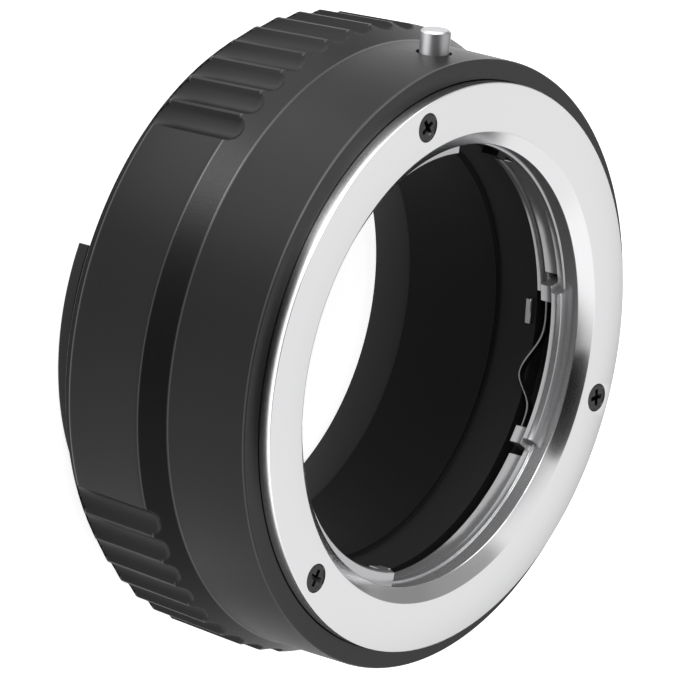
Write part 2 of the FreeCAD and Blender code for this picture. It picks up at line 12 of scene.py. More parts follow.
import bmesh
import bpy
import numpy as np
from mathutils import Matrix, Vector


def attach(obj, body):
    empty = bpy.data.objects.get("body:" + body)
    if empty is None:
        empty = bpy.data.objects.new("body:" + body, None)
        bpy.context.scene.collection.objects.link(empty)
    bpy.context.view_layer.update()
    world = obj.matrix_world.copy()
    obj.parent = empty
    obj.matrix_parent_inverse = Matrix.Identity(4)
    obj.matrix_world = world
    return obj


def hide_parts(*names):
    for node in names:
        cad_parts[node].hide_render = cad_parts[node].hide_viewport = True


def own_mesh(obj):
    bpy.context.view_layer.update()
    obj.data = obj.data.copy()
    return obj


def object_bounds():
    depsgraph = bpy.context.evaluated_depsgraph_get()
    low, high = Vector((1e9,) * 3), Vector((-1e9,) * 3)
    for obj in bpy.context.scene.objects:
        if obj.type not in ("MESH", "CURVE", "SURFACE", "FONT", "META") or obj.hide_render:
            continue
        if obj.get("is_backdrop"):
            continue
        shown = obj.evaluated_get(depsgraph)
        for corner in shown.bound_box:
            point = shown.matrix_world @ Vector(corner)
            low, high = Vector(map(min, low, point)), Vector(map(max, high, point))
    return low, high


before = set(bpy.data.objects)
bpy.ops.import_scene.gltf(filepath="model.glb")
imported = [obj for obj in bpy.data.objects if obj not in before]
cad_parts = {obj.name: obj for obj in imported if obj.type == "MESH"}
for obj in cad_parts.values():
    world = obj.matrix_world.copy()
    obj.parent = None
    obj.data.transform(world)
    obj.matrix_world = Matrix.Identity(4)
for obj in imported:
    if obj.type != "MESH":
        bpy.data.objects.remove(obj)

Piece = bpy.types.Object
Tree = bpy.types.NodeTree
Array = np.ndarray

LOG = logging.getLogger("adapter")
MM = 0.001
BODY = "adapter"

# Heights of faces and steps
LENS_FACE = 25.5
BARREL_FRONT = 24.0
RING_SEAT = 23.3
BARREL_REAR = 0.88
SHOULDER = 19.2
CHAMBER_END = 14.2
SPIGOT_TOP = 2.8
# Radius and clock angle of each screw
RING_SCREWS = ((27.2, 343.1), (27.2, 105.3), (27.2, 227.1))
REAR_SCREWS = ((28.85, 30.0), (28.85, 120.0), (28.85, 210.0), (28.85, 300.0))
# First and last clock angles
LUGS = ((79.0, 121.0), (188.8, 240.6), (320.6, 363.0))
DEEP_SKIRT = (33.0, 81.0)
TOOTH_SLOT = (20.5, 33.0)
BAYONETS = ((-0.4, 49.6), (159.6, 193.6), (236.6, 292.6))
# Middle of each group of flutes, angle between flutes, and flutes in a group
FLUTE_GROUPS = (344.1, 219.0, 101.4)
FLUTE_PITCH = 6.25
FLUTES = 9
PIN_Z = 19.65
QUARTER_TURN = 0.25
# Radius that stands for the axis of a turned outline, and one past the barrel
AXIS = 0.0001
PAST = 34.0


class Marks(Enum):
    """Surface marks that a finish can carry."""

    NONE = 0
    TURNED = 1
    GRAIN = 2


@dataclass(frozen=True)
class Finish:
    """One surface finish.

    Attributes:
        name: Material name.
        slot: Material slot of the record that the finish stands for; not used.
        color: Linear base colour.
        metallic: 1 for bare or plated metal.
        roughness: Mean roughness.
        spread: How far the marks move the roughness up and down.
        bump: Height of the marks in millimetres.
        marks: Kind of marks.
        specular: Specular level of a non-metal.
        stretch: How much turning stretches reflections across its marks, from 0 to 1.
    """

    name: str
    slot: str
    color: tuple
    metallic: float
    roughness: float
    spread: float
    bump: float
    marks: Marks
    specular: float = 0.5
    stretch: float = 0.0


ANODISED = Finish("black_anodised", "black_anodised", (0.004, 0.004, 0.0042), 0.0, 0.36, 0.07,
                  0.008, Marks.GRAIN, 0.16)
# Painted highlight: a lighter, glossier black that stands for the thin bright lines along the
# barrel's sharp edges.
EDGE_HIGHLIGHT = Finish("painted_edge_highlight", "black_anodised", (0.012, 0.012, 0.0125), 0.0, 0.3, 0.05, 0.004,
                   Marks.GRAIN, 0.4)
FACE_BLACK = Finish("face_black", "black_anodised", (0.006, 0.006, 0.0063), 0.0, 0.4, 0.05, 0.008,
                    Marks.GRAIN, 0.45)
BORE_BLACK = Finish("bore_black", "black_anodised", (0.005, 0.005, 0.0053), 0.0, 0.55, 0.05, 0.003,
                    Marks.TURNED, 0.12)
CHAMBER_BLACK = Finish("chamber_black", "black_anodised", (0.009, 0.009, 0.0094), 0.0, 0.55, 0.05,
                       0.003, Marks.TURNED, 0.2)
EDGE_SHADE = Finish("edge_shade", "black_anodised", (0.006, 0.006, 0.0063), 0.0, 0.6, 0.05, 0.002,
                    Marks.GRAIN, 0.02)
CHROME = Finish("satin_chrome", "satin_chrome", (0.80, 0.80, 0.81), 1.0, 0.17, 0.03, 0.0006,
                Marks.TURNED, stretch=0.75)
THROAT_CHROME = Finish("throat_chrome", "satin_chrome", (0.5, 0.5, 0.51), 0.8, 0.2, 0.02, 0.00004,
                       Marks.TURNED, stretch=0.5)
PLATED = Finish("screw_chrome", "screw_chrome", (0.06, 0.06, 0.062), 1.0, 0.3, 0.05, 0.001,
                Marks.GRAIN)
STEEL = Finish("pin_steel", "pin_steel", (0.42, 0.42, 0.43), 1.0, 0.4, 0.05, 0.0006, Marks.GRAIN)
DULL_STEEL = Finish("dull_steel", "spring_steel", (0.03, 0.03, 0.031), 1.0, 0.5, 0.05, 0.0006,
                    Marks.GRAIN)
SPRING = Finish("spring_steel", "spring_steel", (0.24, 0.24, 0.245), 1.0, 0.25, 0.03, 0.0005,
                Marks.NONE)
BLACK_RING = Finish("black_ring", "black_ring", (0.007, 0.007, 0.0075), 0.0, 0.42, 0.05, 0.003,
                    Marks.TURNED, 0.3)
BLACK_SCREW = Finish("black_screw", "black_screw", (0.015, 0.015, 0.015), 0.0, 0.35, 0.05, 0.002,
                     Marks.GRAIN, 0.4)


class Nodes:
    """Short way to add and join nodes in one tree."""

    def __init__(self, tree: Tree) -> None:
        """Keep the tree that the nodes go into."""
        self.tree = tree

    def add(self, kind: str, *values: object, **inputs: object) -> bpy.types.Node:
        """Add a node and set it up.

        Args:
            kind: Node type name.
            *values: Constants or sockets for the first inputs, with None for one to leave.
            **inputs: Node properties, or input values by socket name with spaces as "_".

        Returns:
            The new node.
        """
        node = self.tree.nodes.new(kind)
        for key, value in inputs.items():
            if hasattr(node, key) and key not in ("color", "location"):
                setattr(node, key, value)
            else:
                self.feed(node, key.replace("_", " "), value)
        for index, value in enumerate(values):
            if value is not None:
                self.feed(node, index, value)
        return node

    def feed(self, node: bpy.types.Node, name: object, value: object) -> None:
        """Set an input to a constant or join it to an output socket.

        Args:
            node: Node to feed.
            name: Input name or index.
            value: Constant or output socket.
        """
        target = node.inputs[name]
        if isinstance(value, bpy.types.NodeSocket):
            self.tree.links.new(value, target)
        else:
            target.default_value = value

    def math(self, operation: str, *values: object) -> bpy.types.NodeSocket:
        """Output socket of a new math node fed with constants or sockets."""
        return self.add("ShaderNodeMath", *values, operation=operation).outputs[0]


def fresh_nodes(block: object) -> Nodes:
    """Cleared nodes of a new material or world."""
    block.use_nodes = True
    block.node_tree.nodes.clear()
    return Nodes(block.node_tree)


def new_group(name: str, inputs: dict, output: str) -> tuple:
    """Start a shader node group.

    Args:
        name: Group name.
        inputs: Default of each input by name, or None for a vector.
        output: Name of its one output, a number.

    Returns:
        The group, its nodes, the sockets of its input node and its output node.
    """
    group = bpy.data.node_groups.new(name, "ShaderNodeTree")
    for title, value in inputs.items():
        kind = "NodeSocketVector" if value is None else "NodeSocketFloat"
        item = group.interface.new_socket(name=title, in_out="INPUT", socket_type=kind)
        if value is not None:
            item.default_value = value
    group.interface.new_socket(name=output, in_out="OUTPUT", socket_type="NodeSocketFloat")
    n = Nodes(group)
    return group, n, n.add("NodeGroupInput").outputs, n.add("NodeGroupOutput")


def marks_group(name: str, fineness: float, detail: float, turned: bool) -> Tree:
    """Fine noise for the marks on a surface.

    Args:
        name: Group name.
        fineness: Marks in a millimetre.
        detail: Finer levels of the noise.
        turned: True for turning marks, which depend on the radius and the height only.

    Returns:
        The shader node group, with the output Height from 0 to 1.
    """
    group, n, inputs, output = new_group(name, {"Fineness": fineness}, "Height")
    spot = n.add("ShaderNodeTexCoord").outputs["Object"]
    scale = n.math("MULTIPLY", inputs["Fineness"], 1.0 / MM)
    if turned:
        x, y, z = n.add("ShaderNodeSeparateXYZ", spot).outputs
        radius = n.math("SQRT", n.math("ADD", n.math("MULTIPLY", x, x), n.math("MULTIPLY", y, y)))
        spot = n.add("ShaderNodeCombineXYZ", radius, z).outputs[0]
    noise = n.add("ShaderNodeTexNoise", Vector=spot, Detail=detail, Scale=scale)
    n.feed(output, "Height", noise.outputs[0])
    return group


def patch_group() -> Tree:
    """A soft round patch of the surroundings seen in one direction.

    Returns:
        The shader node group: Direction and Centre in, Mask from 0 to 1 out.
    """
    sockets = {"Direction": None, "Centre": None, "Rim": 0.5, "Core": 0.9}
    group, n, inputs, output = new_group("studio_patch", sockets, "Mask")
    dot = n.add("ShaderNodeVectorMath", inputs["Direction"], inputs["Centre"],
                operation="DOT_PRODUCT")
    ramp = n.add("ShaderNodeMapRange", interpolation_type="SMOOTHSTEP",
                 Value=dot.outputs["Value"], From_Min=inputs["Rim"], From_Max=inputs["Core"])
    n.feed(output, "Mask", ramp.outputs[0])
    return group


@dataclass
class Paints:
    """Makes each finish's material once.

    Attributes:
        made: Materials by name.
        groups: Node group of each kind of marks.
    """

    made: dict = field(default_factory=dict)
    groups: dict = field(default_factory=dict)

    def __post_init__(self) -> None:
        """Build the shared node groups."""
        self.groups = {Marks.TURNED: marks_group("turned_marks", 9.0, 2.0, True),
                       Marks.GRAIN: marks_group("fine_grain", 5.0, 3.0, False)}

    def material(self, finish: Finish) -> bpy.types.Material:
        """Material of a finish.

        Args:
            finish: The finish.

        Returns:
            The Blender material.
        """
        if finish.name in self.made:
            return self.made[finish.name]
        material = bpy.data.materials.new(finish.name)
        n = fresh_nodes(material)
        shader = n.add("ShaderNodeBsdfPrincipled", Metallic=finish.metallic,
                       Roughness=finish.roughness, Base_Color=(*finish.color, 1.0),
                       Specular_IOR_Level=finish.specular)
        if finish.stretch:
            n.feed(shader, "Anisotropic", finish.stretch)
            n.feed(shader, "Anisotropic Rotation", QUARTER_TURN)
            around = n.add("ShaderNodeTangent", direction_type="RADIAL", axis="Z")
            n.feed(shader, "Tangent", around.outputs[0])
        if finish.marks is not Marks.NONE:
            marks = n.add("ShaderNodeGroup", node_tree=self.groups[finish.marks])
            height = marks.outputs["Height"]
            ramp = n.add("ShaderNodeMapRange", Value=height,
                         To_Min=finish.roughness - finish.spread,
                         To_Max=finish.roughness + finish.spread)
            n.feed(shader, "Roughness", ramp.outputs[0])
            bump = n.add("ShaderNodeBump", Distance=finish.bump * MM, Strength=1.0, Height=height)
            n.feed(shader, "Normal", bump.outputs["Normal"])
        n.add("ShaderNodeOutputMaterial", shader.outputs[0])
        self.made[finish.name] = material
        return material


def soften(profile: Array, radius: float, steps: int = 3) -> Array:
    """Round each corner of a closed (radius, z) outline with a small arc.

    Each arc runs between two points the same distance from the corner along its two sides. It is
    a quadratic curve with the corner as its control point.

    Args:
        profile: Corner points.
        radius: Distance from the corner at which the curve starts.
        steps: Spans in each arc.

    Returns:
        Array of the rounded outline's points.
    """
    corners = np.asarray(profile, float)
    points = []
    for index, corner in enumerate(corners):
        before = corners[index - 1] - corner
        after = corners[(index + 1) % len(corners)] - corner
        a, b = np.linalg.norm(before), np.linalg.norm(after)
        start = corner + before / a * min(radius, a * 0.4)
        end = corner + after / b * min(radius, b * 0.4)
        for t in np.linspace(0.0, 1.0, steps + 1):
            points.append((1 - t) ** 2 * start + 2 * t * (1 - t) * corner + t * t * end)
    return np.array(points)


def divide(points: Array, step: float) -> list:
    """Split each span of a line into equal parts.

    Args:
        points: Corner points.
        step: Shortest part.

    Returns:
        List of points without the last corner.
    """
    rows = []
    for a, b in zip(points[:-1], points[1:]):
        count = max(1, int(np.hypot(*(b - a)) / step))
        rows += [a + (b - a) * k / count for k in range(count)]
    return rows


def polar(radius: Array, clock: Array, z: Array) -> Array:
    """Points (r sin a, r cos a, z) at radii r, clock angles a in degrees and heights z."""
    angle = np.radians(clock)
    return np.stack(np.broadcast_arrays(radius * np.sin(angle), radius * np.cos(angle), z), -1)


def put(name: str, data: object) -> Piece:
    """Add an object to the scene.

    Args:
        name: Object name.
        data: Its mesh, camera or lamp.

    Returns:
        The object.
    """
    thing = bpy.data.objects.new(name, data)
    bpy.context.scene.collection.objects.link(thing)
    return thing


def stand(thing: Piece, axes: tuple, spot: Array) -> None:
    """Place an object by its X, Y and Z directions and its origin in millimetres."""
    rows = [[axis[row] for axis in axes] + [spot[row] * MM] for row in range(3)]
    thing.matrix_world = Matrix((*rows, (0.0, 0.0, 0.0, 1.0)))


@dataclass
class Surface:
    """Collects points and faces, then makes one mesh object.

    Attributes:
        name: Object name.
        points: List of point arrays in millimetres.
        faces: List of faces as tuples of point numbers.
    """

    name: str
    points: list = field(default_factory=list)
    faces: list = field(default_factory=list)

    def add(self, points: Array, faces: list) -> "Surface":
        """Add points with faces that number them from 0.

        Args:
            points: Array of points.
            faces: Faces as lists of numbers.

        Returns:
            This surface.
        """
        count = sum(len(part) for part in self.points)
        self.points.append(np.reshape(points, (-1, 3)))
        self.faces += [tuple(int(i) + count for i in face) for face in faces]
        return self

    def sweep(self, profile: Array, start: float, end: float, step: float) -> "Surface":
        """Turn a closed (radius, z) outline about the axis.

        A full turn closes on itself, and a part turn gets a flat cap at both ends.

        Args:
            profile: Outline, counter-clockwise with the radius to the right.
            start: First clock angle.
            end: Last clock angle.
            step: Angle between stations.

        Returns:
            This surface.
        """
        full = end - start >= 360.0
        spans = max(2, int(round((end - start) / step)))
        clocks = start + (end - start) * np.arange(spans if full else spans + 1) / spans
        outline = np.asarray(profile)
        return self.grid(polar(outline[None, :, 0], clocks[:, None], outline[None, :, 1]), full)

    def grid(self, grid: Array, full: bool) -> "Surface":
        """Skin a grid of points whose rows are closed loops.

        Args:
            grid: Array of rows, loop points and coordinates.
            full: True if the last row meets the first.

        Returns:
            This surface.
        """
        rows, loop = grid.shape[:2]
        i, j = np.meshgrid(np.arange(rows if full else rows - 1), np.arange(loop), indexing="ij")
        i, j = i.ravel(), j.ravel()
        a, b = i * loop + j, i * loop + (j + 1) % loop
        k = ((i + 1) % rows) * loop
        quads = np.stack([a, b, k + (j + 1) % loop, k + j], 1).tolist()
        if not full:
            quads.append(list(range(loop))[::-1])
            quads.append([(rows - 1) * loop + p for p in range(loop)])
        return self.add(grid, quads)

    def build(self, angle: float = 35.0) -> Piece:
        """Make the mesh object, faces outwards, smooth except at sharp corners.

        Args:
            angle: Corner angle in degrees above which an edge is sharp.

        Returns:
            The Blender object.
        """
        mesh = bpy.data.meshes.new(self.name)
        mesh.from_pydata((np.concatenate(self.points) * MM).tolist(), [], self.faces)
        mesh.validate()
        work = bmesh.new()
        work.from_mesh(mesh)
        bmesh.ops.recalc_face_normals(work, faces=work.faces)
        work.to_mesh(mesh)
        work.free()
        smooth(mesh, angle)
        corners = np.zeros(len(mesh.polygons), int)
        mesh.polygons.foreach_get("loop_total", corners)
        mesh.polygons.foreach_set("use_smooth", corners <= 4)
        return put(self.name, mesh)


def smooth(mesh: bpy.types.Mesh, angle: float) -> None:
    """Shade a mesh smooth, with edges sharper than an angle in degrees kept sharp."""
    mesh.polygons.foreach_set("use_smooth", np.ones(len(mesh.polygons), bool))
    mesh.set_sharp_from_angle(angle=math.radians(angle))


def carve(thing: Piece, cutters: list, angle: float) -> Piece:
    """Cut closed meshes out of an object and keep the result as its mesh.

    Args:
        thing: Object to cut.
        cutters: Objects to take away, which are then removed.
        angle: Corner angle in degrees above which an edge is sharp.

    Returns:
        The same object.
    """
    for cutter in cutters:
        step = thing.modifiers.new("cut", "BOOLEAN")
        step.operation = "DIFFERENCE"
        step.solver = "EXACT"
        step.object = cutter
    view = bpy.context.evaluated_depsgraph_get()
    view.update()
    mesh = bpy.data.meshes.new_from_object(thing.evaluated_get(view))
    thing.modifiers.clear()
    old, thing.data = thing.data, mesh
    mesh.name = thing.name
    bpy.data.meshes.remove(old)
    for cutter in cutters:
        bpy.data.objects.remove(cutter)
    smooth(mesh, angle)
    return thing


def place(points: Array, radius: float, clock: float, base: float = 0.0,
          flip: bool = False) -> Array:
    """Move points drawn round the Z axis to a radius and clock angle.

    Args:
        points: Array of points.
        radius: Distance from the optical axis.
        clock: Clock angle in degrees.
        base: Height to add.
        flip: True to turn the piece over first, so that its top faces the camera side.

    Returns:
        Array of moved points.
    """
    points = np.array(points, float)
    if flip:
        points = points * (1, -1, -1)
    a = math.radians(clock)
    x = points[..., 0]
    y = points[..., 1] + radius
    return np.stack([x * math.cos(a) + y * math.sin(a), -x * math.sin(a) + y * math.cos(a),
                     points[..., 2] + base], -1)


def lathe_points(profile: Array, sides: int) -> Array:
    """Points of a closed (radius, z) outline turned about Z at a number of even stations."""
    outline = np.asarray(profile, float)
    return polar(outline[None, :, 0], (360.0 * np.arange(sides) / sides)[:, None],
                 outline[None, :, 1])


def pin_points(profile: Array, sides: int) -> Array:
    """Points of a closed (radius, distance) outline turned about the release pin's line."""
    points = lathe_points(profile, sides)
    return np.stack([points[..., 0], points[..., 2], PIN_Z + points[..., 1]], -1)


@dataclass
class Assembly:
    """A group of pieces that share a body.

    Attributes:
        paints: Source of materials.
    """

    paints: Paints

    def dress(self, thing: Piece, finish: Finish, nodes: tuple = (), body: str = BODY) -> None:
        """Paint a piece, fix it to its body and let it stand for CAD nodes.

        Args:
            thing: The piece.
            finish: Its finish.
            nodes: CAD nodes it stands for.
            body: CAD body it rides on.
        """
        thing.data.materials.clear()
        thing.data.materials.append(self.paints.material(finish))
        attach(thing, body)
        if nodes:
            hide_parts(*nodes)
        faces = sum(len(p.vertices) - 2 for p in thing.data.polygons)
        LOG.info("%s: %d triangles, %s", thing.name, faces, finish.name)

    def repaint(self, thing: Piece, radii: tuple, heights: tuple, finish: Finish) -> None:
        """Give the faces between two radii and two heights another finish.

        Args:
            thing: The piece.
            radii: Inner and outer radius in millimetres.
            heights: Lower and upper height in millimetres.
            finish: The finish.
        """
        mesh = thing.data
        paint = self.paints.material(finish)
        if mesh.materials.find(paint.name) < 0:
            mesh.materials.append(paint)
        count = len(mesh.polygons)
        centres = np.zeros(count * 3)
        mesh.polygons.foreach_get("center", centres)
        x, y, z = centres.reshape(-1, 3).T / MM
        index = np.zeros(count, int)
        mesh.polygons.foreach_get("material_index", index)
        reach = np.hypot(x, y)
        within = (reach > radii[0]) & (reach < radii[1]) & (z > heights[0]) & (z < heights[1])
        index[within] = mesh.materials.find(paint.name)
        mesh.polygons.foreach_set("material_index", index)


@dataclass
class Barrel(Assembly):
    """The anodised barrel with its fluted grip.

    Attributes:
        front_radius: Radius of the front cylinder.
        grip_radius: Radius at the end of the taper.
        rear_radius: Radius at the start of the rear chamfer.
        taper: Heights of the taper's two ends.
        chamfer: Height of the rear chamfer's start.
        flute_radius: Radius of the cutter.
        flute_depth: Depth of a flute.
        flute_end: Height of the centre of a flute's round end.
        inside: Radii of the rear recess, bore, chamber, throat and ring seat.
        rear: Radii at the rear edge of the chamfer and of the rear face's inner edge.
    """

    front_radius: float = 31.65
    grip_radius: float = 33.0
    rear_radius: float = 32.55
    taper: tuple = (14.25, 11.5)
    chamfer: float = 2.33
    flute_radius: float = 1.75
    flute_depth: float = 1.0
    flute_end: float = 11.45
    inside: tuple = (27.6, 22.5, 22.9, 24.8, 29.6)
    rear: tuple = (31.45, 30.7)

    def grip(self, z: Array) -> Array:
        """Radius of the grip's slight cone at a height."""
        slope = (self.grip_radius - self.rear_radius) / (self.taper[1] - self.chamfer)
        return self.grip_radius - slope * (self.taper[1] - z)

    def clocks(self) -> Array:
        """Stations round the barrel, close together in the fluted groups.

        Returns:
            Array of clock angles.
        """
        reach = FLUTE_PITCH * FLUTES / 2
        fine = FLUTE_PITCH / 22
        coarse = np.arange(0.0, 360.0, 1.25)
        parts = []
        for centre in FLUTE_GROUPS:
            parts.append(np.arange(centre - reach, centre + reach + fine / 2, fine))
            gap = np.abs((coarse - centre + 180.0) % 360.0 - 180.0)
            coarse = coarse[gap > reach + fine]
        return np.unique(np.round(np.concatenate([coarse, *parts]) % 360.0, 4))

    def cut_radius(self, clock: Array, z: Array) -> Array:
        """Radius at which a ray from the axis meets the nearest flute's cutter.

        The cutter is a cylinder with a ball end, and its axis lies at radius c(z), which follows
        the grip's slight cone. A ray at the angle d from it meets it at
        c cos d - sqrt(R squared - c squared sin squared d), and R shrinks to
        sqrt(R squared - (z - z0) squared) beyond the ball's centre.

        Args:
            clock: Clock angles in degrees.
            z: Heights.

        Returns:
            Radii, infinite where there is no flute.
        """
        centre = self.grip(np.minimum(z, self.flute_end)) - self.flute_depth + self.flute_radius
        over = np.maximum(z - self.flute_end, 0.0)
        left = self.flute_radius ** 2 - over ** 2
        result = np.full(np.broadcast(clock, z).shape, np.inf)
        for group in FLUTE_GROUPS:
            gap = (clock - group + 180.0) % 360.0 - 180.0
            number = np.clip(np.round(gap / FLUTE_PITCH), -(FLUTES // 2), FLUTES // 2)
            d = np.radians(gap - number * FLUTE_PITCH)
            inside = left - (centre * np.sin(d)) ** 2
            radius = centre * np.cos(d) - np.sqrt(np.maximum(inside, 0.0))
            near = (inside > 0.0) & (np.abs(d) < math.radians(FLUTE_PITCH))
            result = np.where(near, np.minimum(result, radius), result)
        return result

    def outline(self) -> Array:
        """Closed outline of the barrel's section, with extra rows where the flutes end.

        Returns:
            Array of (radius, z) points.
        """
        edge, lip = self.rear
        front = soften([(31.1, BARREL_FRONT), (self.front_radius, BARREL_FRONT),
                        (self.front_radius, 23.0)], 0.32, 5)[6:12]
        taper = soften([(self.front_radius, 16.0), (self.front_radius, self.taper[0]),
                        (self.grip_radius, self.taper[1]), (self.rear_radius, self.chamfer)],
                       0.12, 4)[5:15]
        rear = soften([(self.grip_radius, self.taper[1]), (self.rear_radius, self.chamfer),
                       (edge, BARREL_REAR), (lip, BARREL_REAR)], 0.14, 3)[4:12]
        rows = divide(taper, 0.14) + [(self.grip(z), z) for z in (10.9, 10.7, 10.0, 8.0, 6.0, 4.0)]
        rows += divide(rear, 0.16)
        recess, bore, chamber, throat, seat = self.inside
        inside = [(recess, BARREL_REAR), (recess, SPIGOT_TOP), (bore, SPIGOT_TOP),
                  (bore, CHAMBER_END), (chamber, CHAMBER_END), (chamber, SHOULDER),
                  (throat, SHOULDER), (throat, RING_SEAT), (seat, RING_SEAT), (seat, BARREL_FRONT)]
        eased = soften([(29.0, 0.0)] + inside + [(seat, 30.0)], 0.05, 2)[3:-3]
        return np.array([*front, *rows, rear[-1], *eased])

    def build(self) -> None:
        """Make the barrel, cut the pin's hole and paint its faces."""
        clocks = self.clocks()[:, None]
        radius, z = self.outline().T[:, None]
        fluted = (radius > 31.0) & (z < self.taper[0] + 0.25)
        radius = np.where(fluted, np.minimum(radius, self.cut_radius(clocks, z)), radius)
        barrel = Surface("barrel").grid(polar(radius, clocks, z), True).build(18.0)
        carve(barrel, [self.pin_hole()], 18.0)
        self.dress(barrel, ANODISED, ["body_barrel"])
        self.repaint(barrel, (0.0, 25.5), (0.0, CHAMBER_END), BORE_BLACK)
        self.repaint(barrel, (0.0, 25.5), (CHAMBER_END, BARREL_FRONT), CHAMBER_BLACK)
        self.repaint(barrel, (29.7, 32.5), (BARREL_FRONT - 0.4, BARREL_FRONT + 0.1), FACE_BLACK)
        # Painted highlight: thin lighter bands along the taper's two edges, the chamfer's start
        # and the front and rear edges.
        edges = ((31.4, self.taper[0]), (32.78, self.taper[1]), (32.4, self.chamfer),
                 (31.4, BARREL_FRONT - 0.08), (31.0, BARREL_REAR + 0.03))
        for least, z in edges:
            self.repaint(barrel, (least, PAST), (z - 0.1, z + 0.1), EDGE_HIGHLIGHT)
        shade = np.linspace(BARREL_REAR + 0.12, self.chamfer - 0.12, 6)
        for low, high in zip(shade[:-1], shade[1:]):
            least = np.interp(low, (BARREL_REAR, self.chamfer), (self.rear[0], self.rear_radius))
            self.repaint(barrel, (least - 0.08, PAST), (low, high), EDGE_SHADE)

    def pin_hole(self) -> Piece:
        """Cutter for the release pin's hole and its wider mouth.

        Returns:
            The cutter object.
        """
        outline = [(0.0, 28.9), (1.62, 28.9), (1.62, 31.05), (1.85, 31.35), (1.85, 34.5),
                   (0.0, 34.5)]
        points = pin_points(np.array(outline) + (AXIS, 0.0), 48)
        return Surface("pin_hole").grid(points, True).build()


@dataclass
class ScrewSet(Assembly):
    """Countersunk cross-recess screws.

    Attributes:
        spots: Radius and clock angle of each screw.
        face: Height of the face they sit in.
        sink: How far the heads lie under the face.
        flip: True for screws that face the camera side.
        head: Head radius.
        depth: Depth of the countersink.
        shank: Shank radius.
        length: Overall length.
        turn: Clock angle of the cross recess.
    """

    spots: tuple = RING_SCREWS
    face: float = LENS_FACE
    sink: float = 0.02
    flip: bool = False
    head: float = 1.45
    depth: float = 0.75
    shank: float = 0.8
    length: float = 6.5
    turn: float = -20.0535

    def outline(self, grow: float = 0.0) -> Array:
        """Outline of the screw, or of its hole when it is grown.

        Args:
            grow: Radius to add.

        Returns:
            Array of (radius, z) points with the head at z = 0.
        """
        rim = 0.07
        return np.array([(AXIS, -self.length), (self.shank + grow, -self.length),
                         (self.shank + grow, -self.depth), (self.head + grow, -rim - grow),
                         (self.head - 0.03 + grow, -0.03), (self.head - 0.1 + grow, 0.0),
                         (AXIS, 0.0)])

    def drop(self, points: Array, spot: tuple, sink: float = 0.0) -> Array:
        """Points drawn round Z moved to one screw's place, and under the face by the sink."""
        return place(points, *spot, self.face + (sink if self.flip else -sink), self.flip)

    def recess(self, spot: tuple) -> list:
        """Cutters for the cross recess of one screw: two tapered bars.

        Args:
            spot: Radius and clock angle of the screw.

        Returns:
            List of cutter objects.
        """
        cutters = []
        for turn in (self.turn, self.turn - 90.0):
            corners = [(sx * long, sy * wide, z)
                       for z, long, wide in ((0.1, 0.98, 0.27), (-0.55, 0.55, 0.13))
                       for sx, sy in ((-1, -1), (1, -1), (1, 1), (-1, 1))]
            faces = [(0, 1, 2, 3), (7, 6, 5, 4), (0, 4, 5, 1), (1, 5, 6, 2), (2, 6, 7, 3),
                     (3, 7, 4, 0)]
            corners = self.drop(place(corners, 0.0, turn), spot, self.sink)
            cutters.append(Surface("recess").add(corners, faces).build())
        return cutters

    def build(self, name: str, finish: Finish, nodes: list) -> None:
        """Make all the screws as one piece.

        Args:
            name: Piece name.
            finish: Finish of the screws.
            nodes: CAD nodes they stand for.
        """
        surface = Surface(name)
        cutters = []
        for spot in self.spots:
            surface.grid(self.drop(lathe_points(self.outline(), 48), spot, self.sink), True)
            cutters += self.recess(spot)
        self.dress(carve(surface.build(30.0), cutters, 30.0), finish, nodes)

    def seats(self) -> list:
        """Cutters for the screws' countersunk holes."""
        rim = self.head + 0.06
        outline = self.outline(0.06)
        outline[-3:] = ((rim, 0.0), (rim, 0.3), (AXIS, 0.3))
        points = lathe_points(outline, 48)
        return [Surface("seat").grid(self.drop(points, spot), True).build() for spot in self.spots]


